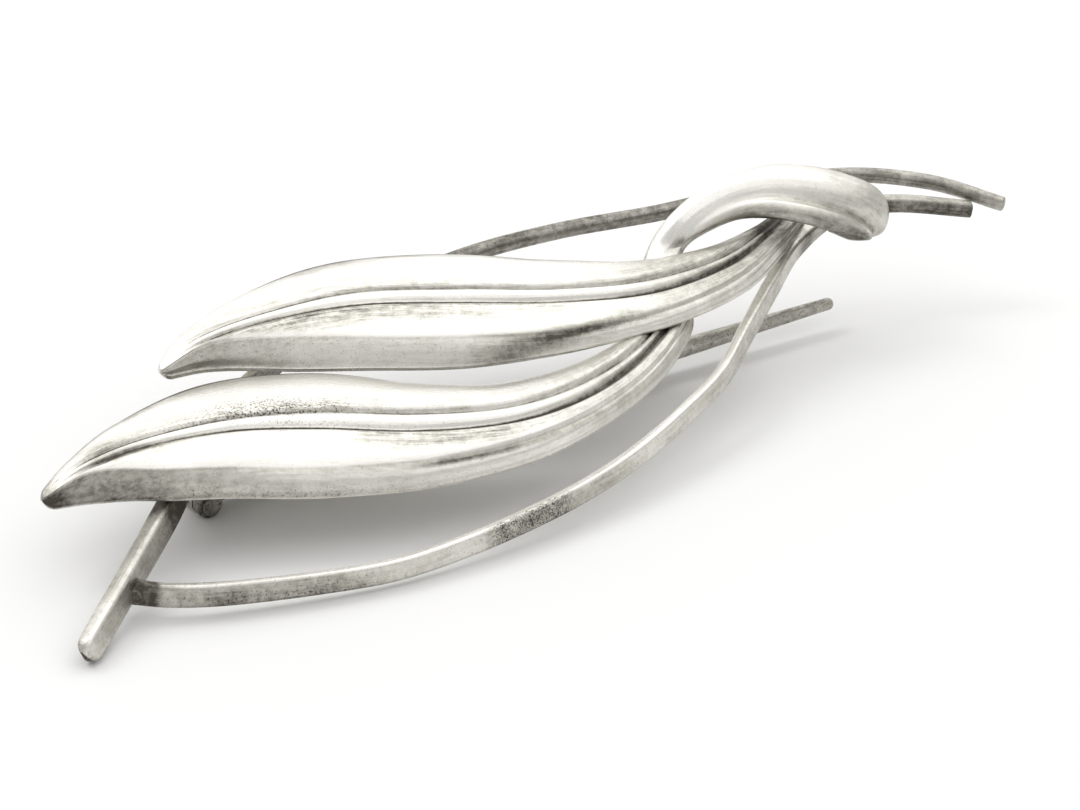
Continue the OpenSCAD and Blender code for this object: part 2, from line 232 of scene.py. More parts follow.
# Softboxes: name, place, size, radiance
SOFTBOXES = (
    ("softbox_back", (0.55, 0.75, 0.7), (2.0, 1.6), 0.6),
    ("softbox_top", (0.3, -0.05, 1.15), (2.2, 1.7), 0.42),
    ("softbox_key", (-0.3, 0.62, 0.82), (0.45, 0.45), 2.8),
)

# Surroundings, and the surface that the brooch lies on
WORLD_COLOUR = (1.0, 0.995, 0.98, 1)
WORLD_STRENGTH = 0.7
FLOOR_SIZE = 6
FLOOR_COLOUR = (0.9, 0.9, 0.9, 1)
FLOOR_ROUGHNESS = 0.7
FLOOR_SPECULAR = 0.15


# Numbers
def mix(a, b, t):
    return a + (b - a) * t


def unit(v):
    return v / np.linalg.norm(v, axis=-1, keepdims=True)


def smoothstep(a, b, x):
    """From 0 at a to 1 at b, which may be the smaller of the two."""
    t = np.clip((x - a) / (b - a), 0, 1)
    return t * t * (3 - 2 * t)


def hump(x, middle, width):
    """1 at the middle, falling off smoothly on both sides."""
    return np.exp(-((x - middle) / width) ** 2)


def between(rows, u):
    """Smooth rows of a table at u, which counts rows."""
    rows = np.asarray(rows, float)
    u = np.atleast_1d(np.asarray(u, float))
    ends = np.vstack([2 * rows[:1] - rows[1:2], rows, 2 * rows[-1:] - rows[-2:-1]])
    i = np.clip(np.floor(u).astype(int), 0, len(rows) - 2)
    t = (u - i)[:, None]
    a, b, c, d = ends[i], ends[i + 1], ends[i + 2], ends[i + 3]
    return 0.5 * (2 * b + (c - a) * t + (2 * a - 5 * b + 4 * c - d) * t * t
                  + (3 * b - a - 3 * c + d) * t ** 3)


def places(rows, steps, start=0.0):
    """Where rings go along a table: even, and closer together at both ends."""
    end = len(rows) - 1
    u = start + (end - start) * np.linspace(0, 1, steps)
    close = END_REACH * np.linspace(0, 1, END_RINGS + 1)[:-1] ** 2
    u = u[(u > start + close[-1]) & (u < end - close[-1])]
    return np.concatenate([start + close, u, (end - close)[::-1]])


def lengths_along(line):
    """The way run from the start of a line to each of its points."""
    steps = np.linalg.norm(np.diff(line, axis=0), axis=1)
    return np.concatenate([[0], np.cumsum(steps)])


def level_run(rows, us):
    """Rows of a table at us, their headings seen from above, and the way run so far."""
    table = between(rows, us)
    ahead = unit(between(rows, us + 0.01)[:, :2] - between(rows, us - 0.01)[:, :2])
    return table, ahead, lengths_along(table[:, :2])


def rounding(run, reach):
    """Size of a section at a distance from a rounded end, as a share of its full size."""
    if not reach or run >= reach:
        return 1.0
    return max(LEAST_SECTION, math.sqrt(1 - (1 - run / reach) ** 2))


def turn(axis, degrees):
    """Rotation matrix about x, y or z."""
    c, s = math.cos(math.radians(degrees)), math.sin(math.radians(degrees))
    i, j = {"x": (1, 2), "y": (2, 0), "z": (0, 1)}[axis]
    m = np.eye(3)
    m[i, i] = m[j, j] = c
    m[i, j], m[j, i] = -s, s
    return m


# Places: the spray's own plane, the hinge's frame, and the frame of the scene
REST = turn("y", -REST_SLOPE) @ turn("x", REST_TILT)
REST_SHIFT = np.array([-FOOTPRINT_MIDDLE[0], -FOOTPRINT_MIDDLE[1], REST_HEIGHT])
PIN_RUN = CATCH_AT - PIVOT
PIN_HEADING = math.degrees(math.atan2(PIN_RUN[1], PIN_RUN[0]))
PIN_PITCH = -math.degrees(math.atan2(PIN_RUN[2], math.hypot(PIN_RUN[0], PIN_RUN[1])))
HINGE = turn("z", PIN_HEADING) @ turn("y", PIN_PITCH) @ turn("x", -REST_TILT)


def rest(points):
    """From the spray's own plane to the frame of the scene, in metres."""
    return (np.asarray(points, float) @ REST.T + REST_SHIFT) * MM


def at_pivot(points):
    """From the hinge's own frame to the spray's plane."""
    return np.asarray(points, float) @ HINGE.T + PIVOT


def hinge_place(points):
    """From the hinge's own frame to the frame of the scene, in metres."""
    return rest(at_pivot(points))


# Meshes
def shade_smooth(mesh):
    mesh.polygons.foreach_set("use_smooth", [True] * len(mesh.polygons))


def add_mesh(name, points, faces, marks, sharp):
    """A smooth mesh whose points carry the named values in marks."""
    mesh = bpy.data.meshes.new(name)
    mesh.from_pydata([tuple(p) for p in points], [], faces)
    for key, values in marks.items():
        if values.shape[1] == 1:
            layer = mesh.attributes.new(key, "FLOAT", "POINT")
            layer.data.foreach_set("value", values.ravel())
        else:
            layer = mesh.attributes.new(key, "FLOAT_VECTOR", "POINT")
            layer.data.foreach_set("vector", values.ravel())
    shade_smooth(mesh)
    mesh.set_sharp_from_angle(angle=math.radians(sharp))
    obj = bpy.data.objects.new(name, mesh)
    bpy.context.collection.objects.link(obj)
    return obj


def sweep_faces(rings, count):
    """Faces of a closed skin over rings of points, with a fan at each end."""
    faces = []
    for i in range(rings - 1):
        a, b = i * count, (i + 1) * count
        for k in range(count):
            n = (k + 1) % count
            faces.append((a + k, a + n, b + n, b + k))
    start, end = rings * count, rings * count + 1
    last = (rings - 1) * count
    for k in range(count):
        n = (k + 1) % count
        faces.append((start, n, k))
        faces.append((end, last + k, last + n))
    return faces


def skin(name, rings, marks=None, sharp=60, place=rest):
    """One closed piece over an array of rings, rings by points by xyz."""
    rings = np.asarray(rings, float)
    n, count, _ = rings.shape

    def closed(values):
        values = np.asarray(values, float).reshape(n, count, -1)
        return np.vstack([values.reshape(n * count, -1), values[0].mean(0), values[-1].mean(0)])

    marks = {key: closed(values) for key, values in (marks or {}).items()}
    return add_mesh(name, place(closed(rings)), sweep_faces(n, count), marks, sharp)


def flow_marks(run, x, z):
    """Where the points of a ring are along, across and through the piece, in metres."""
    return np.stack([0 * x + run, x, z], 1) * MM


def reshape(obj, move):
    """Move all points of a mesh at once."""
    points = move(np.array([v.co for v in obj.data.vertices]))
    for vertex, point in zip(obj.data.vertices, points):
        vertex.co = point


def join(name, parts):
    """Make one object of several, in the order given."""
    bpy.ops.object.select_all(action="DESELECT")
    for part in parts:
        part.select_set(True)
    bpy.context.view_layer.objects.active = parts[0]
    bpy.ops.object.join()
    parts[0].name = name
    parts[0].data.name = name
    return parts[0]


# Leaves. Along a leaf, s runs from 0 at its tip to 1 at its stem's end. Across
# it, x is the distance from its midline in millimetres, less than 0 on the near
# side, and share is x as a share of that side's width. Below the crest, where
# the near side folds down, band is 1 and low runs from 0 to 1 at the near edge.
def fullness(near, far):
    """0 where a leaf is too narrow for grooves and wear, 1 where it is wide."""
    return np.clip((near + far - 2) / 3, 0, 1)


def leaf_outline(row, s):
    """Points round a leaf's section, its upper side first, and which are upper."""
    near, far, rib, crest, crest_top, near_foot, far_foot, near_groove, far_groove = row[2:]
    near_top, far_top = near_foot + LEAF_EDGE, far_foot + LEAF_EDGE
    depth = GROOVE_DEPTH * fullness(near, far)
    depth *= 0.45 + 0.55 * smoothstep(0.2, 0.6, s)
    near_slope = near_groove + min(GROOVE_LIP, 0.35 * crest)
    far_slope = far_groove + min(GROOVE_LIP, 0.25 * far)
    rib_at = (far_groove - near_groove) / 2
    hollow = np.clip((near + far - 5.5) / 3, 0, 1)
    fold = smoothstep(0.42, 0.6, s) * (1 - smoothstep(0.93, 1.0, s))
    edge = min(NEAR_EDGE_ROUND, 0.2 * near)
    far_edge = mix(FAR_EDGE_ROUND_AT_TIP, FAR_EDGE_ROUND, smoothstep(0.12, 0.3, s))
    far_edge = min(far_edge, 0.3 * far)
    top = np.array([
        [-near + 0.1 * edge, near_top - edge],
        [-near + edge, near_top],
        [-mix(near, crest, 0.35), mix(near_top, crest_top, 0.46 + 0.06 * fold)],
        [-mix(near, crest, 0.65), mix(near_top, crest_top, 0.77 - 0.03 * fold)],
        [-mix(near, crest, 0.85), mix(near_top, crest_top, 0.92 - 0.14 * fold)],
        [-crest, crest_top + 0.03 + 0.02 * fold],
        [-mix(crest, near_slope, 0.08), mix(crest_top, rib, 0.1) + 0.05 + 0.05 * fold],
        [-mix(crest, near_slope, 0.24), mix(crest_top, rib, 0.28) + 0.05 + 0.03 * fold],
        [-mix(crest, near_slope, 0.6), mix(crest_top, rib, 0.58) + 0.05],
        [-near_slope, rib - 0.2 * depth],
        [-near_groove, rib - depth],
        [mix(rib_at, -near_groove, 0.5), rib - 0.2 * depth],
        [rib_at, rib],
        [mix(rib_at, far_groove, 0.5), rib - 0.2 * depth],
        [far_groove, rib - depth],
        [far_slope, rib - 0.2 * depth],
        [mix(far_slope, far, 0.4), mix(rib, far_top, 0.24)],
        [mix(far_slope, far, 0.75), mix(rib, far_top, 0.6)],
        [far - far_edge, far_top + 0.02],
        [far - 0.35 * far_edge, far_top - 0.12],
        [far, far_foot + 0.06],
    ])
    top = between(top, np.linspace(0, len(top) - 1, LEAF_TOP_POINTS))
    corners = np.array([
        [far - 0.12, far_foot],
        [0.86 * far, far_foot],
        [0.5 * far, mix(far_foot, mix(rib, far_top, 0.3) - LEAF_SHEET, hollow)],
        [0, mix(mix(near_foot, far_foot, 0.5), rib - LEAF_SHEET - 0.1, hollow)],
        [-0.9 * crest, mix(near_foot, crest_top - LEAF_SHEET, hollow)],
        [-0.86 * near, near_foot],
        [-near + 0.3 * edge, near_foot],
    ])
    last = len(corners) - 1
    under = np.array([
        mix(corners[int(u)], corners[min(int(u) + 1, last)], u % 1)
        for u in np.linspace(0, last, LEAF_UNDER_POINTS)
    ])
    points = np.vstack([top, under])
    return points, np.arange(len(points)) < len(top)


def groove_marks(row, s, x, upper, crease, smear):
    """Distances to the dark lines, their strengths, and the shade beside them.

    crease is how dark the crease below the crest is, and how much darker where it
    is sharpest. smear is the middle and the reach of the streaked shade, in s.
    """
    near, far, _, crest, _, _, _, near_groove, far_groove = row[2:]
    rib_at = (far_groove - near_groove) / 2
    worn = fullness(near, far) * upper
    below, above = -near_groove - x, x - far_groove
    lines = np.stack([below, above, x + crest + CREASE_OFFSET], 1)
    lines *= 1 - 0.4 * smoothstep(0.5, 0.75, s)
    strengths = np.stack([
        worn * mix(0.7, 1.5, smoothstep(0.2, 0.4, s)) * (1 - 0.5 * smoothstep(0.62, 0.75, s)),
        worn * (mix(0.5, 0.8, smoothstep(0.4, 0.55, s)) + 0.35 * smoothstep(0.36, 0.22, s))
        * (1 - 0.3 * smoothstep(0.6, 0.75, s)),
        worn * smoothstep(0.46, 0.52, s) * (1 - smoothstep(0.93, 1.0, s))
        * (crease[0] + crease[1] * hump(s, 0.54, 0.08)),
    ], 1)
    streaked = 0.85 * hump(s, *smear) * smoothstep(2.7, 1.2, below)
    streaked *= smoothstep(-crest - 0.1, -0.7 * crest, x)
    shade = (0.5 * hump(below, 0, 0.7) + streaked) * (below > 0)
    shade += (0.4 + 0.3 * hump(s, 0.36, 0.1)) * (above > 0) * hump(above, 0, 1.1)
    shade += 0.2 * (below < 0) * smoothstep(rib_at, -near_groove, x)
    shade *= 1 - 0.6 * smoothstep(0.6, 0.75, s)
    return lines, strengths, shade * worn


def make_leaf(name, rows, wear_and_painted_light, specks, crease, smear):
    """A leaf. Two functions give its upper side's tarnish, with painted shadows and dark
    reflections in it, and its specks.
    """
    rows = rows.copy()
    rows[0, 2:4] = LEAF_TIP_HALF_WIDTH
    us = places(rows, LEAF_RINGS)
    table, ahead, along = level_run(rows, us)
    rings = []
    marks = {key: [] for key in ("flow", "tarnish_and_painted_light", "lines", "strengths", "shade", "specks")}
    for row, way, run, u in zip(table, ahead, along, us):
        s = u / (len(rows) - 1)
        near, far, crest = row[2], row[3], row[5]
        points, upper = leaf_outline(row, s)
        x = points[:, 0]
        lines, strengths, shade = groove_marks(row, s, x, upper, crease, smear)
        band = smoothstep(-crest + 0.05, -crest - 0.12, x)
        low = (-crest - x) / (near - crest)
        middle = points.mean(0)
        size = rounding(run, LEAF_TIP_ROUND) * rounding(along[-1] - run, LEAF_STEM_ROUND)
        x, z = (middle + (points - middle) * size).T
        share = x / np.where(x > 0, far, near)
        rings.append(np.stack([row[0] - way[1] * x, row[1] + way[0] * x, z], 1))
        marks["flow"].append(flow_marks(run, x, z))
        # The upper side's tarnish carries painted shadows and dark reflections too.
        marks["tarnish_and_painted_light"].append(np.where(upper, wear_and_painted_light(s, share, band, low), UNDERSIDE))
        marks["specks"].append(np.where(upper, specks(s, share, band, low), UNDERSIDE))
        marks["lines"].append(lines)
        marks["strengths"].append(strengths)
        marks["shade"].append(shade)
    return skin(name, rings, marks)


def far_rim_painted_shade(s, share):
    """Painted shade: the dark line along a leaf's far edge, for the dark reflection of its
    rolled edge, widest at its tip.
    """
    start = mix(0.75, 0.92, smoothstep(0.15, 0.4, s))
    return mix(1.1, 0.7, smoothstep(0.2, 0.45, s)) * smoothstep(start, 0.96, share)


def front_leaf_wear_and_painted_shade(s, share, band, low):
    # tip is a painted dark reflection on the band at the leaf's tip.
    tip = 0.5 * (1 - smoothstep(0.005, 0.07, s))
    left = 0.34 * (1 - smoothstep(0.1, 0.4, s))
    crest = 0.12 * (1 - smoothstep(0.0, 0.6, low)) * (1 - smoothstep(0.5, 0.8, s))
    foot = 0.14 * smoothstep(0.2, 0.9, low) * (1 - smoothstep(0.35, 0.55, s))
    lower = band * (0.1 + crest + left + tip + foot)
    rim = 0.16 * smoothstep(0.8, 1.0, low) * band * (1 - smoothstep(0.4, 0.7, s))
    # nose is a painted dark reflection on the top at the leaf's tip.
    nose = 0.6 * (1 - smoothstep(0.0, 0.07, s)) * (1 - band)
    stem = 0.24 * smoothstep(0.58, 0.76, s) * (1 - band)
    smear = 0.42 * hump(s, 0.14, 0.05) * hump(share, 0.05, 0.25)
    smear += 0.5 * hump(s, 0.17, 0.06) * hump(share, -0.21, 0.07)
    # Painted shadow where the stem runs under the back leaf and the wrap.
    under_leaf = np.where(share > -0.2, 0.6 * smoothstep(0.83, 0.88, s),
                          0.45 * smoothstep(0.88, 0.93, s))
    # Painted shade along the far edge, wider near the tip where the edge rolls down, for the
    # dark reflection of the rolled edge.
    far_rim_shade = far_rim_painted_shade(s, share)
    roll = 0.5 * smoothstep(0.62, 0.78, share) * (1 - smoothstep(0.15, 0.4, s))
    return 0.07 + lower + rim + nose + stem + smear + under_leaf + far_rim_shade + roll


def front_leaf_specks(s, share, band, low):
    zone = smoothstep(0.02, 0.12, share) * (1 - smoothstep(0.25, 0.5, share)) * (1 - band)
    rim = 0.35 * smoothstep(0.6, 1.0, low) * band
    rib = 0.6 * hump(share, -0.01, 0.05)
    return 0.05 + (0.75 * zone + rib) * hump(s, 0.35, 0.1) + rim * hump(s, 0.36, 0.14)


def back_leaf_wear_and_painted_shade(s, share, band, low):
    left = 0.24 * (1 - smoothstep(0.03, 0.3, s))
    crest = 0.14 * (1 - smoothstep(0.0, 0.6, low)) * (1 - smoothstep(0.45, 0.7, s))
    lower = band * (0.11 + crest + left + 0.07 * smoothstep(0.62, 0.75, s))
    # Painted dark reflection: a patch on the band where the surroundings show dark.
    across = mix(0.85, -0.1, np.clip((s - 0.46) / 0.16, 0, 1))
    patch = 0.75 * hump(low, across, 0.45) * hump(s, 0.55, 0.085)
    stem = 0.34 * smoothstep(0.58, 0.74, s) * (1 - band)
    # Painted shadow where the stem runs under the wrap.
    under_wrap = np.where(share > 0, 0.65, 0.3) * smoothstep(0.865, 0.9, s)
    # Painted shade along the far edge, wider near the tip where the edge rolls down, for the
    # dark reflection of the rolled edge.
    far_rim_shade = far_rim_painted_shade(s, share)
    roll = 0.5 * smoothstep(0.78, 0.88, share) * (1 - smoothstep(0.35, 0.55, s))
    rubbed = 0.4 * hump(s, 0.3, 0.05) * hump(share, 0.78, 0.1)
    return 0.07 + lower + patch + stem + under_wrap + far_rim_shade + roll + rubbed


def back_leaf_specks(s, share, band, low):
    return 0.05 + 0.1 * band * (1 - smoothstep(0.3, 0.6, s))


# Wires. Along a wire, run is the distance from its left end in millimetres.
# Round its section, near is 1 on the side towards the camera, and high runs
# from -0.5 at the bottom to 0.5 at the top.
def wire_section(width, height, roll, corner):
    """A rectangle with well rounded corners, as it is and rolled."""
    x, z = width / 2, height / 2
    r = min(corner, 0.48 * width, 0.4 * height)
    points = []
    for side, top, start in ((-1, -1, 270), (-1, 1, 180), (1, 1, 90), (1, -1, 0)):
        for k in range(WIRE_CORNER_POINTS):
            a = math.radians(start - 90 * k / (WIRE_CORNER_POINTS - 1))
            points.append([side * (x - r) + r * math.cos(a), top * (z - r) + r * math.sin(a)])
    points = np.array(points)
    c, s = math.cos(math.radians(roll)), math.sin(math.radians(roll))
    return points, np.stack(
        [points[:, 0] * c + points[:, 1] * s, points[:, 1] * c - points[:, 0] * s], 1)


def make_wire(name, rows, wear_and_painted_light, corner, start=0.0, round_start=0.0, slant=0.0):
    """A flat wire. A slant makes the lower edge of its start reach further back."""
    us = places(rows, WIRE_RINGS, start)
    table, ahead, along = level_run(rows, us)
    rings = []
    marks = {key: [] for key in ("flow", "tarnish_and_painted_light", "specks", "scuffs")}
    for row, way, run in zip(table, ahead, along):
        size = rounding(run, round_start) * rounding(along[-1] - run, WIRE_END_ROUND)
        size *= 1 + 0.25 * slant * math.exp(-run / 0.3)
        flat, section = wire_section(WIRE_WIDTH * row[4], WIRE_HEIGHT * row[5], row[3], corner)
        x, z = (section * size).T
        lean = slant * math.exp(-run / 0.7) * (z - z.max())
        rings.append(np.stack([row[0] - way[1] * x + way[0] * lean,
                               row[1] + way[0] * x + way[1] * lean, row[2] + z], 1))
        near = smoothstep(0.05, -0.3, flat[:, 0] / WIRE_WIDTH / row[4])
        high = flat[:, 1] / WIRE_HEIGHT / row[5]
        tarnish_and_painted_light, specks, scuffs = wear_and_painted_light(run, near, high)
        marks["flow"].append(flow_marks(run, x, z))
        marks["tarnish_and_painted_light"].append(tarnish_and_painted_light)
        marks["specks"].append(0 * near + specks)
        marks["scuffs"].append(0 * near + scuffs)
    return skin(name, rings, marks)


def long_wire_wear_and_painted_sheen(run, near, high):
    """Tarnish, with a painted highlight along the top ridge, specks and scuffs of the long wire.
    """
    front = 1 - smoothstep(15, 24, run)
    left = 0.8 * (1 - near) * front * smoothstep(0.5, 0.2, high + 0.3 * near)
    joint = 0.75 * hump(run, 14.2, 1.5)
    end = -0.16 * (1 - smoothstep(3, 9, run))
    # Painted highlight along the top ridge on the near side.
    ridge = -0.26 * front * hump(high, 0.42, 0.12) * near
    back = 0.26 * smoothstep(24, 36, run) - 0.12 * smoothstep(74, 84, run)
    tarnish_and_painted_light = 0.48 + 0.12 * front + left + joint + end + ridge + back
    return np.clip(tarnish_and_painted_light, 0, 1), 0.12, 0.0


def front_wire_wear_and_painted_light(run, near, high):
    """Tarnish with a painted highlight on the top edge and painted shadow under the wrap, specks
    and scuffs of the front wire.
    """
    joint = 0.5 * (1 - smoothstep(1.0, 1.6, run))
    left = 0.28 * (1 - smoothstep(5, 20, run))
    low = smoothstep(0.15, -0.35, high) * smoothstep(3.5, 5, run) * (1 - smoothstep(12, 18, run))
    scuff = smoothstep(21, 23.5, run) * (1 - smoothstep(27.5, 30, run))
    trail = 0.14 * smoothstep(27, 29, run) * (1 - smoothstep(32, 36, run))
    # Painted highlight along the top edge, cut back where the wire climbs.
    bright = -0.3 * smoothstep(0.3, 0.5, high) * smoothstep(1.5, 3, run)
    bright *= 1 - 0.8 * smoothstep(42, 56, run) * (1 - smoothstep(60, 66, run))
    # Painted shadow where the wire runs under the wrap, and darker towards its right end.
    far = 0.5 * smoothstep(65, 72, run) + 0.5 * hump(run, 64.6, 1.3)
    far += 0.06 * smoothstep(36, 46, run) * (1 - smoothstep(60, 64, run))
    face = near * (left + 0.18 * low + 0.24 * scuff + trail + 0.06 * smoothstep(36, 50, run))
    specks = near * (0.12 + 0.25 * low)
    return np.clip(0.3 + joint + (face + bright) + far, 0, 1), specks, near * scuff


# Wrap. Along it, s runs from 0 at its left end to 1 at its right end.
def wrap_outline(w, t, deep):
    """Points round the wrap's section, w wide and 2 t thick, with a groove on top."""
    corners = np.array([
        [-0.4 * w, -t], [-0.48 * w, -0.55 * t], [-0.5 * w, 0.0], [-0.45 * w, 0.65 * t],
        [-0.33 * w, t], [-0.22 * w, mix(1.0, 0.55, deep) * t],
        [-0.14 * w, mix(1.06, 0.5, deep) * t], [-0.04 * w, mix(1.14, 0.95, deep) * t],
        [0.08 * w, 1.2 * t], [0.26 * w, 0.95 * t], [0.42 * w, 0.35 * t],
        [0.5 * w, -0.3 * t], [0.46 * w, -0.8 * t], [0.38 * w, -t], [0.0, -0.92 * t],
    ])
    loop = np.vstack([corners[-1:], corners, corners[:2]])
    return between(loop, 1 + np.linspace(0, len(corners), WRAP_POINTS, endpoint=False))


def wrap_wear_and_painted_shade(s, across, z, t, deep):
    """Tarnish of the wrap, with painted shade along its outer edge. across is -0.5 at its inner
    edge and 0.5 at its outer edge.
    """
    under = 0.6 * smoothstep(-0.3 * t, -t, z)
    groove = 0.25 * hump(across, -0.18, 0.05) * deep
    tail = 0.32 * smoothstep(0.35, 0.7, s)
    inner = 0.4 * smoothstep(-0.3, -0.48, across) * smoothstep(0.05, 0.1, s)
    inner += 0.1 * smoothstep(-0.05, -0.4, across) * (1 - smoothstep(0.3, 0.5, s))
    # Painted shade along the outer edge.
    rim = 0.2 * smoothstep(0.4, 0.5, across)
    return 0.06 + under + groove + tail + inner + rim


def make_wrap(name, rows):
    """The band round the stems, between its outer and inner edge."""
    us = places(rows, WRAP_RINGS)
    table = between(rows, us)
    outer, inner = table[:, :3], table[:, 3:]
    middle = (outer + inner) / 2
    ahead = between(rows, us + 0.01) - between(rows, us - 0.01)
    ahead = (ahead[:, :3] + ahead[:, 3:]) / 2
    across = outer - inner
    side, out = unit(across), unit(np.cross(ahead, across))
    along = lengths_along(middle)
    t = WRAP_THICKNESS / 2
    rings = []
    marks = {"flow": [], "tarnish_and_painted_light": []}
    for k in range(len(us)):
        w = np.linalg.norm(across[k])
        s = us[k] / (len(rows) - 1)
        deep = smoothstep(0.25, 0.5, s)
        x, z = wrap_outline(w, t, deep).T
        rings.append(middle[k] + side[k] * x[:, None] + out[k] * z[:, None])
        marks["flow"].append(flow_marks(along[k], x, z))
        marks["tarnish_and_painted_light"].append(wrap_wear_and_painted_shade(s, x / w, z, t, deep))
    return skin(name, rings, marks)


# Hinge, catch and solder
def make_ear(name, side):
    """One ear of the hinge: round foot, straight sides, softened rim."""
    middle = side * (EYE_WIDTH / 2 + HINGE_PLAY + EAR_THICKNESS / 2)
    outline = [[EYE_RADIUS, EAR_HEIGHT + EAR_SINK]]
    for a in np.linspace(0, -180, 37):
        c, s = math.cos(math.radians(a)), math.sin(math.radians(a))
        outline.append([EYE_RADIUS * c, EYE_RADIUS * s])
    outline.append([-EYE_RADIUS, EAR_HEIGHT + EAR_SINK])
    outline = np.array(outline)
    rings = []
    for depth, inset in ((-0.5, 0.1), (-0.47, 0.03), (-0.38, 0.0),
                         (0.38, 0.0), (0.47, 0.03), (0.5, 0.1)):
        x, z = (outline * (1 - inset / EYE_RADIUS)).T
        rings.append(np.stack([x, np.full(len(x), middle + depth * EAR_THICKNESS), z], 1))
    return skin(name, rings, sharp=40, place=hinge_place)


def round_box(name, low, high, bevel):
    """A box with rounded edges, given in the hinge's frame."""
    bpy.ops.mesh.primitive_cube_add(size=1)
    obj = bpy.context.object
    obj.name = name
    low, high = np.array(low), np.array(high)
    reshape(obj, lambda points: (low + high) / 2 + (high - low) * points)
    edges = obj.modifiers.new("edges", "BEVEL")
    edges.width, edges.segments, edges.limit_method = bevel, 4, "NONE"
    bpy.ops.object.modifier_apply(modifier="edges")
    reshape(obj, hinge_place)
    shade_smooth(obj.data)
    return obj


def make_rod(name, path, radius):
    """Round wire bent along a path. radius is a function of the way run."""
    path = np.asarray(path, float)
    ahead = unit(np.gradient(path, axis=0))
    start = np.array([0.0, 0.0, 1.0]) if abs(ahead[0][2]) < 0.9 else np.array([1.0, 0, 0])
    side = unit(np.cross(start, ahead[0]))
    along = lengths_along(path)
    a = np.linspace(0, 2 * math.pi, ROD_POINTS, endpoint=False)
    rings = []
    for p, way, run in zip(path, ahead, along):
        side = unit(side - way * (side @ way))
        up = np.cross(way, side)
        size = radius(run)
        size *= rounding(run, size) * rounding(along[-1] - run, size)
        rings.append(p + size * (np.cos(a)[:, None] * side + np.sin(a)[:, None] * up))
    return skin(name, rings)


def catch_hook_path():
    """Over the pin, open below: the far arm, the half ring, the near arm."""
    arc = np.radians(np.linspace(0, 180, 41))
    ring = [[0, CATCH_RING_RADIUS * math.cos(a), CATCH_RING_RADIUS * math.sin(a)] for a in arc]
    steps = np.linspace(0, 1, 16)[:-1]
    far_arm = [[0, CATCH_RING_RADIUS, -CATCH_ARM * (1 - t)] for t in steps]
    near_arm = [[0, -CATCH_RING_RADIUS, -CATCH_ARM * (1 - t)] for t in steps[::-1]]
    catch_distance = float(np.linalg.norm(PIN_RUN))
    return at_pivot(np.array(far_arm + ring + near_arm) + [catch_distance, 0, 0])


def catch_post_path():
    """Straight up from the top of the half ring to the stems."""
    foot = CATCH_AT + [0, CATCH_RING_RADIUS * math.sin(math.radians(REST_TILT)),
                       CATCH_RING_RADIUS * math.cos(math.radians(REST_TILT))]
    return [foot + [0, 0, (CATCH_POST_TOP - foot[2]) * t] for t in np.linspace(0, 1, 24)]


def catch_post_radius(run):
    return CATCH_POST_RADIUS * (1 + 0.25 * math.exp(-run / 0.4))


def make_lump(name, middle, radii, seed, rough):
    """A small solidified blob of solder."""
    bpy.ops.mesh.primitive_ico_sphere_add(subdivisions=4, radius=1)
    obj = bpy.context.object
    obj.name = name
    rng = np.random.default_rng(seed)
    waves = rng.normal(size=(6, 3)) * 2.2
    shift = rng.uniform(0, 6.28, 6)

    def swell(points):
        bump = 1 + rough * np.sin(points @ waves.T + shift).sum(1) / 3
        return rest(np.array(middle) + points * np.array(radii) * bump[:, None])

    reshape(obj, swell)
    shade_smooth(obj.data)
    return obj


# Materials
class Graph:
    """Short calls for building one material's nodes."""

    def __init__(self, name):
        self.material = bpy.data.materials.new(name)
        self.material.use_nodes = True
        self.nodes = self.material.node_tree.nodes
        self.links = self.material.node_tree.links
        self.shader = self.nodes["Principled BSDF"]

    def put(self, socket, value):
        if isinstance(value, bpy.types.NodeSocket):
            self.links.new(value, socket)
        elif value is not None:
            socket.default_value = value

    def add(self, kind, **values):
        node = self.nodes.new(kind)
        for key, value in values.items():
            setattr(node, key, value)
        return node

    def carried(self, key, output="Fac"):
        """A value that the mesh's points carry."""
        return self.add("ShaderNodeAttribute", attribute_name=key).outputs[output]

    def split(self, vector):
        node = self.add("ShaderNodeSeparateXYZ")
        self.put(node.inputs[0], vector)
        return node.outputs

    def math(self, operation, a, b=None, c=None, clamp=False):
        node = self.add("ShaderNodeMath", operation=operation, use_clamp=clamp)
        for socket, value in zip(node.inputs, (a, b, c)):
            self.put(socket, value)
        return node.outputs[0]

    def vary(self, amount, noise, swing):
        """Add noise to an amount, as much up as down."""
        return self.math("MULTIPLY_ADD", self.math("SUBTRACT", noise, 0.5), swing, amount)

    def noise(self, vector, scale, detail, roughness, distortion=0.0):
        node = self.add("ShaderNodeTexNoise")
        self.put(node.inputs["Vector"], vector)
        node.inputs["Scale"].default_value = scale
        node.inputs["Detail"].default_value = detail
        node.inputs["Roughness"].default_value = roughness
        node.inputs["Distortion"].default_value = distortion
        return node.outputs["Fac"]

    def stretched(self, vector, scale):
        node = self.add("ShaderNodeMapping")
        self.put(node.inputs["Vector"], vector)
        node.inputs["Scale"].default_value = scale
        return node.outputs["Vector"]

    def ranged(self, value, low, high, to_low=0.0, to_high=1.0):
        """Map low and high to to_low and to_high, smoothly, and no further."""
        node = self.add("ShaderNodeMapRange", interpolation_type="SMOOTHSTEP")
        self.put(node.inputs["Value"], value)
        for key, number in (("From Min", low), ("From Max", high),
                            ("To Min", to_low), ("To Max", to_high)):
            node.inputs[key].default_value = number
        return node.outputs["Result"]

    def bump(self, height, strength, distance, normal=None, invert=False):
        node = self.add("ShaderNodeBump", invert=invert)
        node.inputs["Strength"].default_value = strength
        node.inputs["Distance"].default_value = distance
        self.put(node.inputs["Height"], height)
        self.put(node.inputs["Normal"], normal)
        return node.outputs["Normal"]


